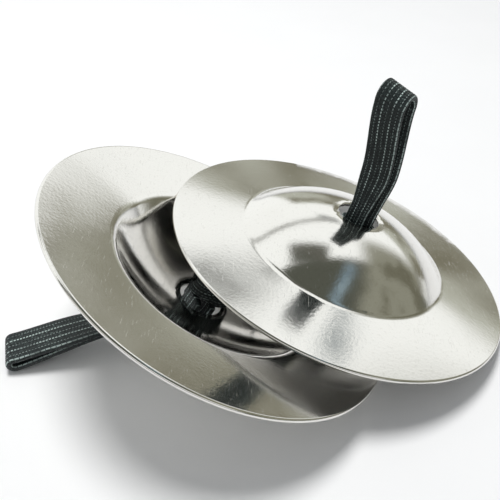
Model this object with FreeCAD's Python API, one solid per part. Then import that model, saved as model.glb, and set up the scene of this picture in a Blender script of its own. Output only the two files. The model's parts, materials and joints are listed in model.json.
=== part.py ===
import FreeCAD, Part
import math
import os

from FreeCAD import Placement, Rotation, Vector

# A pair of finger cymbals at rest on a table, in millimetres and degrees, +Z up.
# The rear cymbal lies hollow side up with its elastic folded under it.
# The front cymbal leans on it, hollow side down, with its finger loop standing up.

# Pressed disc, the same for both cymbals
DISC_RADIUS = 32.5
SHEET = 0.8
FLANGE_SLOPE = 6.7
DOME_RADIUS = 29.0
CROWN_HEIGHT = 8.6
FOOT_FILLET = 2.6
HOLE_RADIUS = 4.0

# Elastic band
BAND_WIDTH = 6.8
BAND_THICK = 1.2
NECK_WIDTH = 5.4
NECK_ROUND = 0.5
LAYER_GAP = 0.1
BEND_ROUND = BAND_THICK + LAYER_GAP / 2
BEND_CLEARANCE = 0.35
CORE_INSET = 0.1

# Knot under the crown, and the two cut tails
KNOT_SIZE = (8.6, 7.4, 4.6)
KNOT_ROUND = 2.2
KNOT_DROP = 0.8
TAIL_WIDTH = 5.2
TAIL_SINK = 1.6

# Rear cymbal: lean of the hollow side, and where its band goes
REAR_TILT = 26.98
REAR_AZIMUTH = 7.7
REAR_YAW = -9.3
REAR_KNOT_SHIFT = (1.2, 1.4)
REAR_BEND_RADIUS = 3.2
REAR_LOOP_LENGTH = 31.0
REAR_LOOP_SLOPE = 8.0
REAR_FOLD_RADIUS = (BAND_THICK + LAYER_GAP) / 2
REAR_LAYER_SKEW = 1.6

# Front cymbal: lean, place beside the rear one, and its standing loop
FRONT_TILT = 16.5
FRONT_AZIMUTH = 11.4
FRONT_OFFSET = (21.9, 11.2)
FRONT_TURN = -48.0
FRONT_KNOT_SHIFT = (0.6, -0.4)
FRONT_PIVOT = 3.0
FRONT_LOOP_LENGTH = 22.0
FRONT_LOOP_LEAN = 6.5
FRONT_FOLD_RADIUS = 2.75

X_AXIS = Vector(1, 0, 0)
Y_AXIS = Vector(0, 1, 0)
Z_AXIS = Vector(0, 0, 1)


def smooth(t):
    t = min(max(t, 0.0), 1.0)
    return t * t * (3 - 2 * t)


def polar(radius, angle):
    return radius * math.cos(angle), radius * math.sin(angle)


# ---------------------------------------------------------------- disc

def disc():
    """Revolved sheet: flat conical flange, fillet, and a dome with a centre hole. The hole's
    centre is the origin, +Z points out of the dome, and the rim is CROWN_HEIGHT below."""
    slope = math.radians(FLANGE_SLOPE)
    k = math.tan(slope)
    half = SHEET / 2
    rim = DISC_RADIUS - half
    dome_z = -math.sqrt(DOME_RADIUS**2 - HOLE_RADIUS**2)
    rim_z = -CROWN_HEIGHT
    # the fillet's centre is one fillet radius above the flange and outside the dome
    reach = DOME_RADIUS + FOOT_FILLET
    lift = k * rim + FOOT_FILLET / math.cos(slope) + rim_z - dome_z
    foot_x = (k * lift + math.sqrt(k**2 * lift**2 - (1 + k**2) * (lift**2 - reach**2))) / (1 + k**2)
    foot_z = rim_z + k * (rim - foot_x) + FOOT_FILLET / math.cos(slope)
    dome_end = math.atan2(foot_z - dome_z, foot_x)
    fillet_start = dome_end + math.pi
    fillet_end = 1.5 * math.pi - slope

    def on_dome(offset, angle):
        x, z = polar(DOME_RADIUS + offset, angle)
        return Vector(x, 0, dome_z + z)

    def on_fillet(offset, angle):
        x, z = polar(FOOT_FILLET - offset, angle)
        return Vector(foot_x + x, 0, foot_z + z)

    def at_hole(offset):
        return Vector(HOLE_RADIUS, 0, dome_z + math.sqrt((DOME_RADIUS + offset)**2 - HOLE_RADIUS**2))

    def at_rim(offset):
        return Vector(rim + offset * math.sin(slope), 0, rim_z + offset * math.cos(slope))

    def side(offset):
        top = at_hole(offset)
        start = math.atan2(top.z - dome_z, top.x)
        return [
            Part.Arc(top, on_dome(offset, (start + dome_end) / 2), on_dome(offset, dome_end)),
            Part.Arc(on_dome(offset, dome_end), on_fillet(offset, (fillet_start + fillet_end) / 2),
                     on_fillet(offset, fillet_end)),
            Part.LineSegment(on_fillet(offset, fillet_end), at_rim(offset)),
        ]

    edge_tip = Vector(rim + half * math.cos(slope), 0, rim_z - half * math.sin(slope))
    curves = side(half) + side(-half)
    curves.append(Part.Arc(at_rim(half), edge_tip, at_rim(-half)))
    curves.append(Part.LineSegment(at_hole(half), at_hole(-half)))
    wire = Part.Wire(Part.__sortEdges__([c.toShape() for c in curves]))
    return Part.Face(wire).revolve(Vector(0, 0, 0), Z_AXIS, 360)


# ---------------------------------------------------------------- elastic band

def section(centre, across, normal, width, thick):
    """Rectangular cross-section of the band, as a closed wire."""
    a = across * (width / 2)
    n = normal * (thick / 2)
    corners = [centre + a + n, centre - a + n, centre - a - n, centre + a - n]
    return Part.makePolygon(corners + corners[:1])


def ribbon(path, across, width):
    """Solid band along path. Its width direction at t is across(t), and t runs from 0 to 1."""
    wires = []
    last = len(path) - 1
    for i, point in enumerate(path):
        tangent = path[min(i + 1, last)] - path[max(i - 1, 0)]
        side = across(i / last)
        normal = tangent.cross(side).normalize()
        wires.append(section(point, side, normal, width(i / last), BAND_THICK))
    return Part.makeLoft(wires, True, True)


def loop_path(length, fold_radius, spread_end):
    """Side view of a finger loop in the YZ plane: up one layer, round the fold, down the other."""
    base = (BAND_THICK + LAYER_GAP) / 2
    fold_z = length - fold_radius
    leg_steps, fold_steps = 9, 8

    def leg(step):
        z = fold_z * step / leg_steps
        return base + (fold_radius - base) * smooth(z / spread_end), z

    points = [Vector(0, -leg(i)[0], leg(i)[1]) for i in range(leg_steps)]
    for i in range(fold_steps + 1):
        y, z = polar(fold_radius, math.pi * (1 - i / fold_steps))
        points.append(Vector(0, y, fold_z + z))
    points += [Vector(0, leg(i)[0], leg(i)[1]) for i in reversed(range(leg_steps))]
    return points


def finger_loop(length, fold_radius, spread_end, skew):
    """Finger loop that starts at its pivot line, the X axis, and runs along +Z.
    skew slides the second layer sideways between the pivot and the fold."""
    path = loop_path(length, fold_radius, spread_end)
    last = len(path) - 1
    slid = []
    for i, point in enumerate(path):
        share = math.sin(math.pi * min(point.z / (length - fold_radius), 1))
        slid.append(point + X_AXIS * (skew * share * (1 if i > last / 2 else -1) / 2))

    def width(t):
        z = path[round(t * last)].z
        return NECK_WIDTH + (BAND_WIDTH - NECK_WIDTH) * smooth(z / 9)

    band = ribbon(slid, lambda t: X_AXIS, width)
    core_length = NECK_WIDTH - 2 * CORE_INSET
    core = Part.makeCylinder(BEND_ROUND - CORE_INSET, core_length, Vector(-core_length / 2, 0, 0), X_AXIS)
    return band.fuse(core).Solids[0]


def straight_neck(top):
    """Both layers pressed together, from the knot up through the hole to z = top."""
    height = top + KNOT_DROP
    neck = Part.makeBox(NECK_WIDTH, 2 * BEND_ROUND, height, Vector(-NECK_WIDTH / 2, -BEND_ROUND, -KNOT_DROP))
    upright = [e for e in neck.Edges if abs(e.tangentAt(e.FirstParameter).z) > 0.9]
    return neck.makeFillet(NECK_ROUND, upright).Solids[0]


def knot(shift):
    """Rounded lump of the overhand knot, a little wider than the hole, seated inside the crown."""
    sx, sy, sz = KNOT_SIZE
    corner = Vector(shift[0] - sx / 2, shift[1] - sy / 2, -KNOT_DROP - sz)
    lump = Part.makeBox(sx, sy, sz, corner)
    return lump.makeFillet(KNOT_ROUND, lump.Edges).Solids[0]


def tail(start, heading, rise, length):
    """One cut end of the band. It leaves the knot along heading and rises out of the hollow."""
    steps = 6
    run = Vector(math.cos(math.radians(heading)), math.sin(math.radians(heading)), 0)
    path = []
    for i in range(steps + 1):
        t = i / steps
        path.append(start + run * (length * t) - Z_AXIS * (rise * smooth(t)))
    side = Z_AXIS.cross(run)
    return ribbon(path, lambda t: side, lambda t: TAIL_WIDTH)


# ---------------------------------------------------------------- rear cymbal

def rear_place():
    """Where the rear hole sits: the rim's lowest point and the table are both at z = 0."""
    lean = Rotation(Z_AXIS, REAR_AZIMUTH) * Rotation(Y_AXIS, REAR_TILT)
    half = SHEET / 2
    rim_z = (DISC_RADIUS - half) * math.sin(math.radians(REAR_TILT)) + half
    crown = Vector(0, 0, rim_z) - lean.multVec(Z_AXIS) * CROWN_HEIGHT
    upside_down = Rotation(X_AXIS, 180)
    return Placement(crown, lean * upside_down)


def rear_band_place():
    """The rear hole's place, turned about the hole so that X is across the band and -Y is uphill."""
    turned = Rotation(Z_AXIS, REAR_YAW - 90)
    return rear_place() * Placement(Vector(0, 0, 0), turned)


def rear_bend():
    """Centre line of the bend under the hole, in the band's own frame: the straight length, the
    turn in radians, and the pivot, from where the loop slopes down until its end meets the table."""
    place = rear_band_place()
    down = place.Rotation.multVec(Z_AXIS)
    uphill = place.Rotation.multVec(-Y_AXIS)
    slope = math.radians(REAR_LOOP_SLOPE)
    turn = math.atan2(-down.z, uphill.z) - slope
    drop = place.Base.z - BEND_ROUND - (REAR_LOOP_LENGTH - REAR_FOLD_RADIUS) * math.sin(slope)
    straight = (drop - REAR_BEND_RADIUS * (-down.z * math.sin(turn) - uphill.z * (1 - math.cos(turn)))) / -down.z
    end = Vector(0, -REAR_BEND_RADIUS * (1 - math.cos(turn)), straight + REAR_BEND_RADIUS * math.sin(turn))
    return straight, turn, end


def rear_loop_place():
    """Pivot of the rear loop at the end of the bend: Z along the band, X across it, Y upward."""
    place = rear_band_place()
    straight, turn, end = rear_bend()
    heading = place.Rotation.multVec(Vector(0, -math.sin(turn), math.cos(turn)))
    across = Z_AXIS.cross(heading).normalize()
    return Placement(place.multVec(end), Rotation(across, Z_AXIS, heading, "ZYX"))


def rear_neck():
    """Both layers through the hole, then bent round towards the loop's end."""
    straight, turn, end = rear_bend()
    loop_across = rear_band_place().Rotation.inverted().multVec(rear_loop_place().Rotation.multVec(-X_AXIS))
    steps = 8
    path = [Vector(0, 0, -KNOT_DROP), Vector(0, 0, 0)]
    stop = turn - (BEND_ROUND + BEND_CLEARANCE) / REAR_BEND_RADIUS
    for i in range(steps + 1):
        a = stop * i / steps
        path.append(Vector(0, -REAR_BEND_RADIUS * (1 - math.cos(a)), straight + REAR_BEND_RADIUS * math.sin(a)))
    wires = []
    last = len(path) - 1
    for i, point in enumerate(path):
        side = (X_AXIS * (1 - i / last) + loop_across * (i / last)).normalize()
        a = max(0, i - 2) / steps * stop
        tangent = Vector(0, -math.sin(a), math.cos(a))
        wires.append(section(point, side, tangent.cross(side).normalize(), NECK_WIDTH, 2 * BEND_ROUND))
    return Part.makeLoft(wires, True, True)


# ---------------------------------------------------------------- front cymbal

def front_place():
    """Where the front hole sits: its rim touches the table beside the rear cymbal."""
    lean = Rotation(Z_AXIS, FRONT_AZIMUTH) * Rotation(Y_AXIS, FRONT_TILT)
    half = SHEET / 2
    rim_z = (DISC_RADIUS - half) * math.sin(math.radians(FRONT_TILT)) + half
    rim_centre = Vector(FRONT_OFFSET[0], FRONT_OFFSET[1], rim_z)
    return Placement(rim_centre + lean.multVec(Z_AXIS) * CROWN_HEIGHT, lean)


def front_band_place():
    """The front hole's place, turned about the hole so that X is across the band."""
    return front_place() * Placement(Vector(0, 0, 0), Rotation(Z_AXIS, FRONT_TURN))


def front_loop_place():
    """Pivot of the standing loop above the hole, leaning a little to one side."""
    lean = Rotation(Y_AXIS, -FRONT_LOOP_LEAN)
    return front_band_place() * Placement(Vector(0, 0, FRONT_PIVOT), lean)


# ---------------------------------------------------------------- assembly

def build():
    """Every piece, as name: shape, before the whole is centred."""
    rear, rear_band, rear_pivot = rear_place(), rear_band_place(), rear_loop_place()
    front, front_band, front_pivot = front_place(), front_band_place(), front_loop_place()
    under = -KNOT_DROP - KNOT_SIZE[2]
    leaning = NECK_WIDTH / 2 * math.sin(math.radians(FRONT_LOOP_LEAN))
    neck_top = FRONT_PIVOT - BEND_ROUND - BEND_CLEARANCE - leaning
    rear_lump, front_lump = knot(REAR_KNOT_SHIFT), knot(FRONT_KNOT_SHIFT)
    rear_long = tail(Vector(0.6, 1.0, under + TAIL_SINK), 110, 1.5, 8.2)
    rear_short = tail(Vector(2.0, 2.0, under + TAIL_SINK + 1.6), 20, 0.8, 6.8)
    front_long = tail(Vector(0.4, -0.6, under + TAIL_SINK), 160, 1.4, 8.0)
    front_short = tail(Vector(0.6, 0.2, under + TAIL_SINK + 1.6), 20, 0.8, 7.2)
    rear_loop = finger_loop(REAR_LOOP_LENGTH, REAR_FOLD_RADIUS, REAR_LOOP_LENGTH, REAR_LAYER_SKEW)
    front_loop = finger_loop(FRONT_LOOP_LENGTH, FRONT_FOLD_RADIUS, FRONT_LOOP_LENGTH * 0.8, 0.0)
    placed = {
        "rear_disc": (disc(), rear),
        "rear_neck": (rear_neck(), rear_band),
        "rear_knot": (rear_lump, rear_band),
        "rear_long_tail": (rear_long.cut(rear_lump).Solids[0], rear_band),
        "rear_short_tail": (rear_short.cut(rear_lump).Solids[0], rear_band),
        "rear_finger_loop": (rear_loop, rear_pivot),
        "front_disc": (disc(), front),
        "front_neck": (straight_neck(neck_top), front_band),
        "front_knot": (front_lump, front_band),
        "front_long_tail": (front_long.cut(front_lump).Solids[0], front_band),
        "front_short_tail": (front_short.cut(front_lump).Solids[0], front_band),
        "front_finger_loop": (front_loop, front_pivot),
    }
    return {name: shape.transformed(place.toMatrix()) for name, (shape, place) in placed.items()}


def centring(shapes):
    """Move that puts the middle of the footprint at the origin and the lowest point at z = 0."""
    box = Part.makeCompound(list(shapes.values())).optimalBoundingBox(False)
    return Vector(-box.Center.x, -box.Center.y, -box.ZMin)


def main():
    os.makedirs("parts", exist_ok=True)
    shapes = build()
    move = centring(shapes)
    for name, shape in shapes.items():
        shape.translate(move)
        shape.exportStep(f"parts/{name}.step")
    anchors = {
        "rear swivel": rear_band_place().Base + move,
        "rear disc axis": rear_place().Rotation.multVec(Z_AXIS),
        "rear loop pivot": rear_loop_place().Base + move,
        "rear loop axis": rear_loop_place().Rotation.multVec(X_AXIS),
        "front swivel": front_band_place().Base + move,
        "front disc axis": front_place().Rotation.multVec(Z_AXIS),
        "front loop pivot": front_loop_place().Base + move,
        "front loop axis": front_loop_place().Rotation.multVec(X_AXIS),
        "front loop direction": front_loop_place().Rotation.multVec(Z_AXIS),
    }
    for name, value in anchors.items():
        print(name, *(round(v, 4) for v in value))


main()
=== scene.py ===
import json
import math
import random

import bpy
from mathutils import Matrix, Vector


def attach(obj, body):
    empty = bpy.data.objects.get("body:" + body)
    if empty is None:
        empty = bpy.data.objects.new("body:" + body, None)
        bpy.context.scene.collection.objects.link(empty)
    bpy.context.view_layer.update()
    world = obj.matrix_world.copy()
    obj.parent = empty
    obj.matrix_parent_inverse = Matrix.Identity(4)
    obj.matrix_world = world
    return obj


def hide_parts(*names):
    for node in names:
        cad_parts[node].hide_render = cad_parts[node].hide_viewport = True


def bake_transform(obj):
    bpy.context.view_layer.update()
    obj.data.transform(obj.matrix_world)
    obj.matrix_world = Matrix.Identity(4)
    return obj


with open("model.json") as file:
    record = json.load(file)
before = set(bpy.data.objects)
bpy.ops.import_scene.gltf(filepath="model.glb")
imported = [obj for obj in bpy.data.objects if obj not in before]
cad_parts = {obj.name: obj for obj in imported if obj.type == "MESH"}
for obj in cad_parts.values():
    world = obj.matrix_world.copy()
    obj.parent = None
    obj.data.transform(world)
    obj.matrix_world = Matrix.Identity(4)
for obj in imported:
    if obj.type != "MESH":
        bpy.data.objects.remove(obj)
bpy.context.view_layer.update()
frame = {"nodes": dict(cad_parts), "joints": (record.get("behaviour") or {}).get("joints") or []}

MM = 0.001

# Elastic band
THICK = 1.1 * MM
LAYER_OFFSET = 0.62 * MM
RIBS = 12
RIB_DEPTH = 0.06 * MM
KNOT_DROP = 0.8 * MM
KNOT_HEIGHT = 4.6 * MM

# Standing loop of the front cymbal
FRONT_LENGTH = 21.3 * MM
FRONT_FOLD = 2.45 * MM
FRONT_WIDTH = 5.7 * MM
FRONT_TOP_SHIFT = -0.75 * MM
FRONT_FOLD_LEAN = -0.24
FRONT_LEG_STATIONS = 64
FRONT_FOLD_STATIONS = 28
# each layer's width and sideways shift, in the hole and where the loop opens, in millimetres
FRONT_LAYERS = {-1: ((3.8, 5.5), (-0.2, 0.25)), 1: ((4.4, 5.6), (0.7, 1.1))}

# Lying loop of the rear cymbal
REAR_LENGTH = 31.0 * MM
REAR_WIDTH = 6.8 * MM
REAR_PINCH = 4.9 * MM
REAR_ARCH = 1.5 * MM
REAR_FOLD = 0.95 * MM
REAR_HOLE_WIDTH = 6.6 * MM
REAR_HOLE_OFFSET = 1.35 * MM
REAR_SKEW = 0.45 * MM
REAR_NECK_STATIONS = 22
REAR_LEG_STATIONS = 66
REAR_FOLD_STATIONS = 12

# Knots and cut ends
KNOT_RING = 2.15 * MM
KNOT_TUBE = 1.05 * MM
KNOT_SQUEEZE = 0.75
KNOT_STATIONS = 132
KNOT_BAND_WIDTH = 3.0 * MM
TAIL_STATIONS = 26
TAIL_WIDTHS = (3.9 * MM, 5.0 * MM)
TAIL_SWAY = 0.25 * MM
FIBRES_PER_END = 26
FIBRE_RADIUS = 0.075 * MM
FIBRE_BEND = 0.35 * MM
FIBRE_LENGTHS = (0.8 * MM, 1.7 * MM)
FIRST_TAIL_SEED = 11

# Ties, in millimetres and degrees in the frame at each hole: the side that X points to, the
# knot's shift, and the start, heading, rise and length of the long tail, then the short one
TIES = (
    ("rear", -1, (1.2, 1.4), ((0.6, 1.0, -3.8), 110, 1.5, 8.2), ((2.0, 2.0, -2.2), 20, 0.8, 6.8)),
    ("front", 1, (0.6, -0.4), ((0.4, -0.6, -3.8), 160, 1.4, 8.0), ((0.6, 0.2, -2.2), 20, 0.8, 7.2)),
)

# Camera
CAMERA_AIM = Vector((-3.0, 5.1, 10.1)) * MM
CAMERA_DISTANCE = 133.6 * MM
CAMERA_AZIMUTH = 1.83
CAMERA_ELEVATION = 37.68
CAMERA_ROLL = 3.0
CAMERA_LENS = 51.5

# Light and floor
KEY_PLACE = Vector((-0.09, 0.10, 0.55))
KEY_SIZE = 0.22
KEY_ENERGY = 2.35
FLOOR_HALF = 3.0
FLOOR_DROP = 0.05 * MM

UP = Vector((0, 0, 1))


def smooth(t):
    t = min(max(t, 0.0), 1.0)
    return t * t * (3 - 2 * t)


def mix(a, b, t):
    return a + (b - a) * t


def add_object(name, data):
    thing = bpy.data.objects.new(name, data)
    bpy.context.scene.collection.objects.link(thing)
    return thing


# ---------------------------------------------------------------- places read from the frame

JOINTS = {j["name"]: j for j in frame["joints"]}


def joint_point(name):
    return Vector(JOINTS[name]["pos_m"])


def joint_axis(name):
    return Vector(JOINTS[name]["axis"]).normalized()


def place(origin, across, along):
    """Local frame at origin: Z along the band, X across it, Y through its thickness."""
    z = along.normalized()
    x = (across - z * across.dot(z)).normalized()
    matrix = Matrix((x, z.cross(x), z)).transposed().to_4x4()
    matrix.translation = origin
    return matrix


def direction(azimuth, elevation):
    """Unit vector. Azimuth turns from +Y towards +X, in degrees."""
    a, e = math.radians(azimuth), math.radians(elevation)
    return Vector((math.sin(a) * math.cos(e), math.cos(a) * math.cos(e), math.sin(e)))


# ---------------------------------------------------------------- camera, light, floor

def add_camera():
    data = bpy.data.cameras.new("camera")
    data.lens = CAMERA_LENS
    data.sensor_width = 36
    data.clip_start = 0.005
    camera = add_object("camera", data)
    forward = direction(CAMERA_AZIMUTH, -CAMERA_ELEVATION)
    right = direction(CAMERA_AZIMUTH + 90, 0)
    roll = Matrix.Rotation(math.radians(-CAMERA_ROLL), 3, forward)
    axes = Matrix((roll @ right, roll @ right.cross(forward), -forward)).transposed()
    camera.matrix_world = Matrix.Translation(CAMERA_AIM - forward * CAMERA_DISTANCE) @ axes.to_4x4()
    bpy.context.scene.camera = camera


class Nodes:
    """Short calls for building one node tree."""

    def __init__(self, tree):
        self.tree = tree

    def new(self, kind, **settings):
        node = self.tree.nodes.new(kind)
        for key, value in settings.items():
            setattr(node, key, value)
        return node

    def plug(self, socket, value):
        if isinstance(value, bpy.types.NodeSocket):
            self.tree.links.new(value, socket)
        else:
            socket.default_value = value

    def math(self, operation, *values):
        node = self.new("ShaderNodeMath", operation=operation)
        for socket, value in zip(node.inputs, values):
            self.plug(socket, value)
        return node.outputs[0]

    def remap(self, value, low, high, to_low=0.0, to_high=1.0):
        node = self.new("ShaderNodeMapRange", interpolation_type="SMOOTHSTEP")
        for socket, item in zip(node.inputs, (value, low, high, to_low, to_high)):
            self.plug(socket, item)
        return node.outputs[0]

    def dot(self, vector, other):
        node = self.new("ShaderNodeVectorMath", operation="DOT_PRODUCT")
        self.plug(node.inputs[0], vector)
        node.inputs[1].default_value = other
        return node.outputs["Value"]

    def blend(self, factor, a, b):
        node = self.new("ShaderNodeMix", data_type="RGBA")
        for name, value in (("Factor", factor), ("A", a), ("B", b)):
            socket = next(s for s in node.inputs if s.name == name and s.enabled)
            plain = isinstance(value, (float, bpy.types.NodeSocket))
            self.plug(socket, value if plain else (*value, 1))
        return next(s for s in node.outputs if s.enabled)

    def noise(self, vector, scale, detail=2.0, roughness=0.5):
        node = self.new("ShaderNodeTexNoise")
        self.plug(node.inputs["Vector"], vector)
        self.plug(node.inputs["Scale"], scale)
        self.plug(node.inputs["Detail"], detail)
        self.plug(node.inputs["Roughness"], roughness)
        return node.outputs["Fac"]

    def bump(self, height, strength, distance, normal=None):
        node = self.new("ShaderNodeBump")
        self.plug(node.inputs["Height"], height)
        self.plug(node.inputs["Strength"], strength)
        self.plug(node.inputs["Distance"], distance)
        if normal is not None:
            self.plug(node.inputs["Normal"], normal)
        return node.outputs["Normal"]


CEILING = (0.100, 0.105, 0.085)
BACKDROP = (1.12, 1.14, 1.13)
DIM_FILL = (0.36, 0.37, 0.38)

# Flat cards in the room round the object: azimuth, elevation, turn, half width, half height,
# soft edge, and the two colours it is mottled with. The turn, like the angles, is in degrees.
CARDS = (
    (27, 4, -12, 0.62, 0.26, 0.045, (0.22, 0.21, 0.155), (0.52, 0.53, 0.46)),
    (92, 28, 0, 0.72, 0.46, 0.16, (0.17, 0.165, 0.12), (0.30, 0.30, 0.24)),
    (-22, 48, 0, 0.60, 0.028, 0.035, (0.34, 0.34, 0.32), (0.36, 0.36, 0.34)),
    (-52, 42, 0, 0.13, 0.07, 0.07, (0.28, 0.28, 0.25), (0.32, 0.32, 0.29)),
    (17, 39, 0, 0.10, 0.03, 0.05, (0.34, 0.35, 0.34), (0.45, 0.46, 0.45)),
    (111, 66, 0, 0.33, 0.035, 0.09, (0.17, 0.23, 0.27), (0.28, 0.37, 0.42)),
    (2, 77, 0, 0.22, 0.15, 0.06, (0.11, 0.115, 0.095), (0.13, 0.13, 0.11)),
    (38.5, 37, 0, 0.025, 0.030, 0.03, (0.06, 0.10, 0.12), (0.10, 0.14, 0.16)),
    (180, 24, 0, 0.90, 0.20, 0.10, (0.95, 0.95, 0.95), (1.0, 1.0, 1.0)),
    (-120, 20, 0, 0.30, 0.45, 0.10, (0.50, 0.50, 0.46), (0.60, 0.60, 0.57)),
)


def card(n, ray, mottle, under, settings):
    """Colour of the room with one more flat card hung in front of it."""
    azimuth, elevation, turn, half_width, half_height, soft, dark, light = settings
    centre = direction(azimuth, elevation)
    level = direction(azimuth + 90, 0)
    steep = level.cross(centre)
    a = math.radians(turn)
    right = level * math.cos(a) + steep * math.sin(a)
    depth = n.dot(ray, centre)
    safe = n.math("MAXIMUM", depth, 0.02)
    mask = n.math("GREATER_THAN", depth, 0.03)
    for axis, half in ((right, half_width), (right.cross(centre), half_height)):
        offset = n.math("ABSOLUTE", n.math("DIVIDE", n.dot(ray, axis), safe))
        inside = n.remap(offset, max(half - soft, 0), half + soft, 1.0, 0.0)
        mask = n.math("MULTIPLY", mask, inside)
    return n.blend(mask, under, n.blend(mottle, dark, light))


def add_world():
    """Studio seen by the metal: white backdrop behind and to the left, dim room above and to
    the right. Diffuse surfaces get an even, weaker share of it."""
    world = bpy.data.worlds.new("studio")
    bpy.context.scene.world = world
    world.use_nodes = True
    n = Nodes(world.node_tree)
    ray = n.new("ShaderNodeTexCoord").outputs["Generated"]
    mottle = n.remap(n.noise(ray, 5.0, 1.5), 0.38, 0.62)
    behind = n.remap(n.dot(ray, direction(-12, 2)), 0.10, 0.20)
    color = n.blend(behind, CEILING, BACKDROP)
    for settings in CARDS:
        color = card(n, ray, mottle, color, settings)
    glossy = n.new("ShaderNodeLightPath").outputs["Is Glossy Ray"]
    color = n.blend(glossy, DIM_FILL, color)
    n.plug(world.node_tree.nodes["Background"].inputs["Color"], color)


def add_key_light():
    """Soft light from above, a little behind and to the left."""
    data = bpy.data.lights.new("key", "AREA")
    data.shape = "DISK"
    data.size = KEY_SIZE
    data.energy = KEY_ENERGY
    light = add_object("key", data)
    aim = KEY_PLACE.to_track_quat("Z", "Y").to_matrix().to_4x4()
    light.matrix_world = Matrix.Translation(KEY_PLACE) @ aim
    light.visible_glossy = False


def add_floor():
    half = FLOOR_HALF
    corners = [(-half, -half, 0), (half, -half, 0), (half, half, 0), (-half, half, 0)]
    mesh = bpy.data.meshes.new("floor")
    mesh.from_pydata(corners, [], [(0, 1, 2, 3)])
    floor = add_object("floor", mesh)
    floor.location.z = -FLOOR_DROP
    material = bpy.data.materials.new("pale_floor")
    material.use_nodes = True
    n = Nodes(material.node_tree)
    shader = material.node_tree.nodes["Principled BSDF"]
    grain = n.noise(n.new("ShaderNodeTexCoord").outputs["Object"], 40.0)
    n.plug(shader.inputs["Base Color"], n.blend(grain, (0.93, 0.93, 0.925), (0.96, 0.96, 0.955)))
    shader.inputs["Roughness"].default_value = 0.75
    shader.inputs["Specular IOR Level"].default_value = 0.1
    mesh.materials.append(material)


# ---------------------------------------------------------------- materials

# Rows of thread in the elastic: place across from 0 to 1, half width, pitch in millimetres,
# share of the pitch that is filled, and strength
THREAD_ROWS = (
    (0.03, 0.011, 0.9, 0.85, 0.5),
    (1 / 6, 0.011, 0.55, 0.5, 0.5),
    (1 / 3, 0.016, 0.55, 0.62, 1.0),
    (1 / 2, 0.011, 0.55, 0.5, 0.5),
    (2 / 3, 0.016, 0.55, 0.62, 1.0),
    (5 / 6, 0.011, 0.55, 0.5, 0.5),
    (0.965, 0.014, 0.9, 0.85, 0.8),
)
THREAD_COLOR = (0.50, 0.60, 0.57)
LINT_COLOR = (0.20, 0.27, 0.25)
PLAIT_PITCH = 0.55

# Hairline scratches in the steel: turn in radians, and how fine
SCRATCHES = ((0.4, 9000.0), (1.7, 12000.0), (2.6, 10000.0))


def polished_steel():
    """Bright pressed steel: cloudy polish, fine pitting and hairline scratches."""
    material = bpy.data.materials.new("polished_steel")
    material.use_nodes = True
    n = Nodes(material.node_tree)
    shader = material.node_tree.nodes["Principled BSDF"]
    shader.inputs["Metallic"].default_value = 1.0
    place_in = n.new("ShaderNodeTexCoord").outputs["Object"]
    cloud = n.noise(place_in, 110.0, 3.0)
    speck = n.remap(n.noise(place_in, 1900.0, 2.0), 0.58, 0.72)
    color = n.blend(cloud, (0.76, 0.745, 0.71), (0.84, 0.83, 0.80))
    color = n.blend(n.math("MULTIPLY", speck, 0.20), color, (0.56, 0.54, 0.50))
    n.plug(shader.inputs["Base Color"], color)
    hairs = None
    for angle, scale in SCRATCHES:
        turned = n.new("ShaderNodeMapping")
        n.plug(turned.inputs["Vector"], place_in)
        turned.inputs["Rotation"].default_value = (0.3, 0.2, angle)
        turned.inputs["Scale"].default_value = (1.0, 0.04, 0.1)
        streak = n.remap(n.noise(turned.outputs[0], scale, 0.0), 0.815, 0.85)
        hairs = streak if hairs is None else n.math("MAXIMUM", hairs, streak)
    rough = n.remap(cloud, 0.3, 0.7, 0.09, 0.15)
    rough = n.math("ADD", rough, n.math("MULTIPLY", hairs, 0.12))
    n.plug(shader.inputs["Roughness"], rough)
    wave = n.bump(n.noise(place_in, 48.0, 1.0), 0.08, 0.002)
    pits = n.bump(n.noise(place_in, 1900.0, 2.0), 0.08, 0.0001, wave)
    n.plug(shader.inputs["Normal"], n.bump(hairs, 0.2, 0.00002, pits))
    return material


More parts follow.
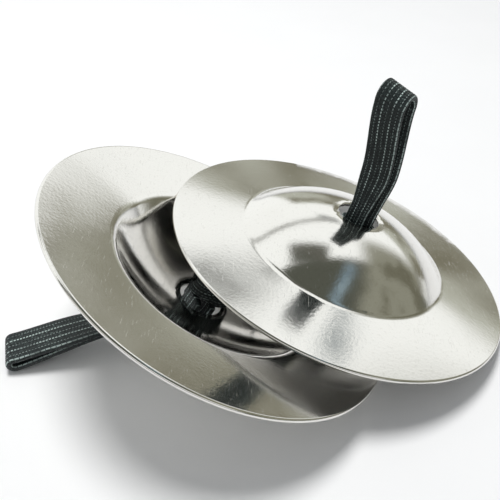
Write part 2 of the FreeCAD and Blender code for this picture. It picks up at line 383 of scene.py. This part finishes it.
def braided_elastic():
    """Black braided elastic with pale threads. The UV map has U across the band from 0 to 1,
    and V along it in millimetres."""
    material = bpy.data.materials.new("braided_elastic")
    material.use_nodes = True
    n = Nodes(material.node_tree)
    shader = material.node_tree.nodes["Principled BSDF"]
    split = n.new("ShaderNodeSeparateXYZ")
    n.plug(split.inputs[0], n.new("ShaderNodeUVMap", uv_map="band").outputs[0])
    across, along = split.outputs[0], split.outputs[1]
    place_in = n.new("ShaderNodeTexCoord").outputs["Object"]
    fuzz = n.noise(place_in, 2600.0, 3.0, 0.7)
    patch = n.noise(place_in, 300.0, 2.0)
    base = n.blend(n.remap(fuzz, 0.35, 0.75), (0.002, 0.005, 0.006), (0.017, 0.027, 0.026))
    lint = n.remap(n.noise(place_in, 4200.0, 1.0), 0.63, 0.70)
    linty = n.math("MULTIPLY", lint, n.remap(patch, 0.35, 0.65, 0.15, 0.7))
    color = n.blend(linty, base, LINT_COLOR)
    broken = n.remap(patch, 0.36, 0.52, 0.35, 1.0)
    wander = n.math("MULTIPLY_ADD", n.noise(place_in, 420.0), 0.02, -0.01)
    shifted = n.math("ADD", across, wander)
    for i, (row, half, pitch, filled, strength) in enumerate(THREAD_ROWS):
        near = n.math("COMPARE", shifted, row, half)
        turn = n.math("FRACT", n.math("MULTIPLY_ADD", along, 1 / pitch, i * 0.37))
        dash = n.math("MULTIPLY", near, n.math("LESS_THAN", turn, filled))
        mask = n.math("MULTIPLY", n.math("MULTIPLY", dash, broken), strength)
        color = n.blend(mask, color, THREAD_COLOR)
    n.plug(shader.inputs["Base Color"], color)
    shader.inputs["Roughness"].default_value = 0.62
    shader.inputs["Sheen Weight"].default_value = 0.04
    shader.inputs["Sheen Roughness"].default_value = 0.35
    plait = n.math("SINE", n.math("MULTIPLY", along, 2 * math.pi / PLAIT_PITCH))
    height = n.math("MULTIPLY_ADD", plait, 0.35, fuzz)
    n.plug(shader.inputs["Normal"], n.bump(height, 0.6, 0.00012))
    return material


# ---------------------------------------------------------------- discs

WELD_REACH = 0.002 * MM
SHADING_WEIGHT = 60


def finish_disc(node, material):
    """The CAD disc keeps its shape; its facets are welded and shaded as one smooth sheet."""
    disc = frame["nodes"][node]
    disc.data.materials.clear()
    disc.data.materials.append(material)
    weld = disc.modifiers.new("joined", "WELD")
    weld.merge_threshold = WELD_REACH
    level = disc.modifiers.new("even_shading", "WEIGHTED_NORMAL")
    level.mode = "FACE_AREA"
    level.weight = SHADING_WEIGHT


# ---------------------------------------------------------------- band meshes

def band_outline():
    """Cross-section of the band: place across from -1 to 1, side, and the relief of the ribs."""
    steps = RIBS * 4
    outline = []
    for side in (1, -1):
        for i in range(steps + 1):
            u = i / steps
            across = side * (1 - 2 * u)
            edge = min((1 - abs(across)) / 0.16, 1.0)
            height = math.sqrt(max(1 - (1 - edge)**2, 0.02))
            outline.append((across, side * height, abs(math.sin(math.pi * RIBS * u))))
    return outline


def band_piece(name, stations, material, closed=False):
    """Ribbed strap through stations of (centre, across, normal, width), in the row's frame."""
    outline = band_outline()
    count = len(outline)
    vertices, uvs = [], []
    travelled = 0.0
    for i, (centre, across, normal, width) in enumerate(stations):
        if i:
            travelled += (centre - stations[i - 1][0]).length / MM
        for a, h, relief in outline:
            rib = (relief - 0.6) * RIB_DEPTH * h
            vertices.append(centre + across * (a * width / 2) + normal * (h * THICK / 2 + rib))
            uvs.append(((a + 1) / 2, travelled))
    rings = len(stations)
    faces = []
    for i in range(rings if closed else rings - 1):
        for k in range(count):
            following, beside = (i + 1) % rings * count, (k + 1) % count
            faces.append((i * count + k, i * count + beside, following + beside, following + k))
    if not closed:
        last = (rings - 1) * count
        for k in range(count // 2 - 1):
            faces.append((k, count - 1 - k, count - 2 - k, k + 1))
            faces.append((last + k, last + k + 1, last + count - 2 - k, last + count - 1 - k))
    mesh = bpy.data.meshes.new(name)
    mesh.from_pydata([tuple(v) for v in vertices], [], faces)
    layer = mesh.uv_layers.new(name="band")
    for loop in mesh.loops:
        layer.data[loop.index].uv = uvs[loop.vertex_index]
    mesh.shade_smooth()
    mesh.materials.append(material)
    return add_object(name, mesh)


def stations_of(points, sides, widths, matrix=None, closed=False):
    """Stations along points, with their width directions and widths, carried by matrix."""
    matrix = matrix or Matrix.Identity(4)
    turn = matrix.to_3x3()
    out = []
    count = len(points)
    for i, point in enumerate(points):
        if closed:
            tangent = points[(i + 1) % count] - points[i - 1]
        else:
            tangent = points[min(i + 1, count - 1)] - points[max(i - 1, 0)]
        tangent.normalize()
        side = (sides[i] - tangent * sides[i].dot(tangent)).normalized()
        out.append((matrix @ point, turn @ side, turn @ tangent.cross(side), widths[i]))
    return out


def front_band(material):
    """Standing loop: up the near layer, round the fold and down the far one, into the hole."""
    hole = joint_point("front_swivel")
    pivot = joint_point("front_loop_bend")
    across = joint_axis("front_loop_bend")
    axis = joint_axis("front_swivel")
    along = (axis - across * axis.dot(across)).normalized()
    matrix = place(pivot, across, along)
    neck = matrix.to_3x3().inverted() @ axis
    bottom = -(pivot - hole).dot(along) - KNOT_DROP - 0.4 * MM
    top = FRONT_LENGTH - FRONT_FOLD
    points, sides, widths = [], [], []

    def leg(side, i):
        z = mix(bottom, top, i / FRONT_LEG_STATIONS)
        spread = mix(LAYER_OFFSET, FRONT_FOLD, smooth((z - 3 * MM) / (top - 2 * MM))**1.5)
        open_up = smooth((z + 1.5 * MM) / (8 * MM))
        widths_here, shifts_here = FRONT_LAYERS[side]
        width = mix(*widths_here, open_up) * MM
        shift = mix(*shifts_here, open_up) * MM
        near_top = smooth((z - 6 * MM) / (13 * MM))
        width = mix(width, FRONT_WIDTH, near_top)
        shift = mix(shift, FRONT_TOP_SHIFT, near_top) + min(z, 0) * neck.x / neck.z
        points.append(Vector((shift, side * spread, z)))
        sides.append(Vector((1, 0, FRONT_FOLD_LEAN * near_top)))
        widths.append(width)

    for i in range(FRONT_LEG_STATIONS):
        leg(-1, i)
    for i in range(FRONT_FOLD_STATIONS + 1):
        a = math.pi * (1 - i / FRONT_FOLD_STATIONS)
        bow = (FRONT_FOLD * math.cos(a), top + FRONT_FOLD * math.sin(a))
        points.append(Vector((FRONT_TOP_SHIFT, *bow)))
        sides.append(Vector((1, 0, FRONT_FOLD_LEAN)))
        widths.append(FRONT_WIDTH)
    for i in reversed(range(FRONT_LEG_STATIONS)):
        leg(1, i)
    piece = band_piece("front_band", stations_of(points, sides, widths, matrix), material)
    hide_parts("front_neck", "front_finger_loop")
    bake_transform(piece)


def rear_band(material):
    """Lying loop: out of the hole, down to the table, folded, and back on top of itself."""
    hole = joint_point("rear_swivel")
    pivot = joint_point("rear_loop_bend")
    across = joint_axis("rear_loop_bend")
    axis = joint_axis("rear_swivel")
    level = UP.cross(across)
    if level.dot(pivot - hole) < 0:
        level = -level
    end_height = THICK / 2 + REAR_FOLD + RIB_DEPTH
    slope = math.asin((pivot.z - end_height) / REAR_LENGTH)
    heading = level * math.cos(slope) - UP * math.sin(slope)
    over = across.cross(heading)
    if over.z < 0:
        over = -over
    reach = REAR_LENGTH - REAR_FOLD
    neck_steps, leg_steps = REAR_NECK_STATIONS, REAR_LEG_STATIONS
    handles = [hole - axis * (KNOT_DROP + 0.4 * MM), hole + axis * 1.2 * MM,
               pivot - heading * 1.6 * MM, pivot]

    def middle(i):
        """Centre line of the two layers, and how far along the loop it is."""
        if i < neck_steps:
            t = i / neck_steps
            a, b, c, d = handles
            point = a * (1 - t)**3 + b * 3 * t * (1 - t)**2 + c * 3 * t * t * (1 - t) + d * t**3
            return point, 0.0
        share = (i - neck_steps) / leg_steps
        arch = REAR_ARCH * math.sin(math.pi * share)**1.4
        return pivot + heading * (reach * share) + over * arch, share

    total = neck_steps + leg_steps
    points, sides, widths = [], [], []

    def layer(i, side):
        point, share = middle(i)
        ahead, behind = middle(min(i + 1, total))[0], middle(max(i - 1, 0))[0]
        tangent = (ahead - behind).normalized()
        normal = across.cross(tangent).normalized()
        if normal.dot(over) < 0:
            normal = -normal
        bulge = math.sin(math.pi * share)
        skew = side * REAR_SKEW * bulge
        gathered = smooth((i / neck_steps - 0.4) / 0.8)
        offset = mix(REAR_HOLE_OFFSET, LAYER_OFFSET, gathered)
        offset = mix(offset, REAR_FOLD, smooth((share - 0.3) / 0.65))
        points.append(point + normal * (side * offset) + across * skew)
        sides.append(across.copy())
        pinch = mix(REAR_HOLE_WIDTH, REAR_PINCH, gathered)
        widths.append(mix(pinch, REAR_WIDTH, smooth((share - 0.25) / 0.5)))

    for i in range(total):
        layer(i, -1)
    end = pivot + heading * reach
    for k in range(REAR_FOLD_STATIONS + 1):
        a = math.pi * k / REAR_FOLD_STATIONS
        points.append(end - over * (REAR_FOLD * math.cos(a)) + heading * (REAR_FOLD * math.sin(a)))
        sides.append(across.copy())
        widths.append(REAR_WIDTH)
    for i in reversed(range(total)):
        layer(i, 1)
    piece = band_piece("rear_band", stations_of(points, sides, widths), material)
    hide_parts("rear_neck", "rear_finger_loop")
    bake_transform(piece)


# ---------------------------------------------------------------- knots and tails

def tie_knot(side, shift, matrix, material):
    """Overhand knot: the band wound through itself as a flattened three-lobed knot."""
    middle = Vector((shift[0] * MM, shift[1] * MM, -KNOT_DROP - KNOT_HEIGHT / 2))
    points, sides = [], []
    for i in range(KNOT_STATIONS):
        t = 2 * math.pi * i / KNOT_STATIONS
        r = KNOT_RING + KNOT_TUBE * math.cos(3 * t)
        height = KNOT_SQUEEZE * KNOT_TUBE * math.sin(3 * t)
        offset = Vector((1.12 * r * math.cos(2 * t), r * math.sin(2 * t), height))
        points.append(middle + offset)
        sides.append(Vector((0.35 * math.cos(2 * t), 0.35 * math.sin(2 * t), 1.0)))
    widths = [KNOT_BAND_WIDTH] * KNOT_STATIONS
    stations = stations_of(points, sides, widths, matrix, closed=True)
    piece = band_piece(f"{side}_tied_knot", stations, material, closed=True)
    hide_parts(f"{side}_knot")
    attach(piece, f"{side}_tie")


def frayed_fibres(across, tip, outward, rng):
    """Thin tapered fibres that stick out of a cut end, as vertices and faces."""
    vertices, faces = [], []
    for _ in range(FIBRES_PER_END):
        root = tip + across * rng.uniform(-2.3, 2.3) * MM + outward * -0.3 * MM
        aim = (outward + across * rng.uniform(-0.7, 0.7) + UP * rng.uniform(-0.5, 0.5)).normalized()
        bend = Vector((rng.uniform(-1, 1), rng.uniform(-1, 1), rng.uniform(-1, 1))) * FIBRE_BEND
        length = rng.uniform(*FIBRE_LENGTHS)
        side = aim.cross(UP if abs(aim.z) < 0.9 else across).normalized()
        other = aim.cross(side)
        base = len(vertices)
        for ring in range(4):
            t = ring / 3
            radius = FIBRE_RADIUS * (1 - 0.6 * t)
            centre = root + aim * length * t + bend * t * t
            for corner in range(4):
                a = math.pi / 2 * corner
                vertices.append(centre + side * radius * math.cos(a) + other * radius * math.sin(a))
        for ring in range(3):
            for corner in range(4):
                a, b = base + ring * 4 + corner, base + ring * 4 + (corner + 1) % 4
                faces.append((a, b, b + 4, a + 4))
        faces.append((base + 3, base + 2, base + 1, base))
        faces.append((base + 12, base + 13, base + 14, base + 15))
    return vertices, faces


def tie_tail(name, body, start, heading, rise, length, matrix, material, seed):
    """One cut end of the band, leaving the knot along heading and rising out of the hollow."""
    rng = random.Random(seed)
    a = math.radians(heading)
    run = Vector((math.cos(a), math.sin(a), 0))
    side = Vector((-math.sin(a), math.cos(a), 0))
    points, sides, widths = [], [], []
    for i in range(TAIL_STATIONS + 1):
        t = i / TAIL_STATIONS
        sway = side * (TAIL_SWAY * math.sin(2.2 * math.pi * t))
        climb = UP * (rise * MM * smooth(t))
        points.append(Vector(start) * MM + run * (length * MM * t) + sway - climb)
        sides.append(side + UP * 0.12 * math.sin(3 * t))
        widths.append(mix(*TAIL_WIDTHS, smooth(t * 1.6)))
    piece = band_piece(name, stations_of(points, sides, widths, matrix), material)
    turn = matrix.to_3x3()
    fibres, fibre_faces = frayed_fibres(turn @ side, matrix @ points[-1], turn @ run, rng)
    mesh = bpy.data.meshes.new(name + "_fibres")
    mesh.from_pydata([tuple(v) for v in fibres], [], fibre_faces)
    mesh.shade_smooth()
    mesh.materials.append(frayed_thread())
    fray = add_object(name + "_fray", mesh)
    for item in (piece, fray):
        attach(item, body)
    return piece


def frayed_thread():
    """Pale loose filaments at a cut end."""
    name = "frayed_thread"
    if name in bpy.data.materials:
        return bpy.data.materials[name]
    material = bpy.data.materials.new(name)
    material.use_nodes = True
    n = Nodes(material.node_tree)
    shader = material.node_tree.nodes["Principled BSDF"]
    tint = n.noise(n.new("ShaderNodeTexCoord").outputs["Object"], 900.0)
    color = n.blend(n.remap(tint, 0.40, 0.60), (0.05, 0.08, 0.075), (0.42, 0.50, 0.47))
    n.plug(shader.inputs["Base Color"], color)
    shader.inputs["Roughness"].default_value = 0.7
    return material


def tie(side, facing, shift, long_tail, short_tail, material):
    """Knot and two tails behind one cymbal's hole. facing is the side that X points to."""
    hole = joint_point(f"{side}_swivel")
    matrix = place(hole, joint_axis(f"{side}_loop_bend") * facing, joint_axis(f"{side}_swivel"))
    tie_knot(side, shift, matrix, material)
    for index, (kind, settings) in enumerate((("long", long_tail), ("short", short_tail))):
        name = f"{side}_{kind}_cut_tail"
        piece = tie_tail(name, f"{side}_tie", *settings, matrix, material, FIRST_TAIL_SEED + index)
        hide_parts(f"{side}_{kind}_tail")


def main():
    bpy.context.scene.view_settings.view_transform = "Standard"
    add_camera()
    add_world()
    add_key_light()
    add_floor()
    steel = polished_steel()
    elastic = braided_elastic()
    finish_disc("rear_disc", steel)
    finish_disc("front_disc", steel)
    front_band(elastic)
    rear_band(elastic)
    for settings in TIES:
        tie(*settings, elastic)


main()
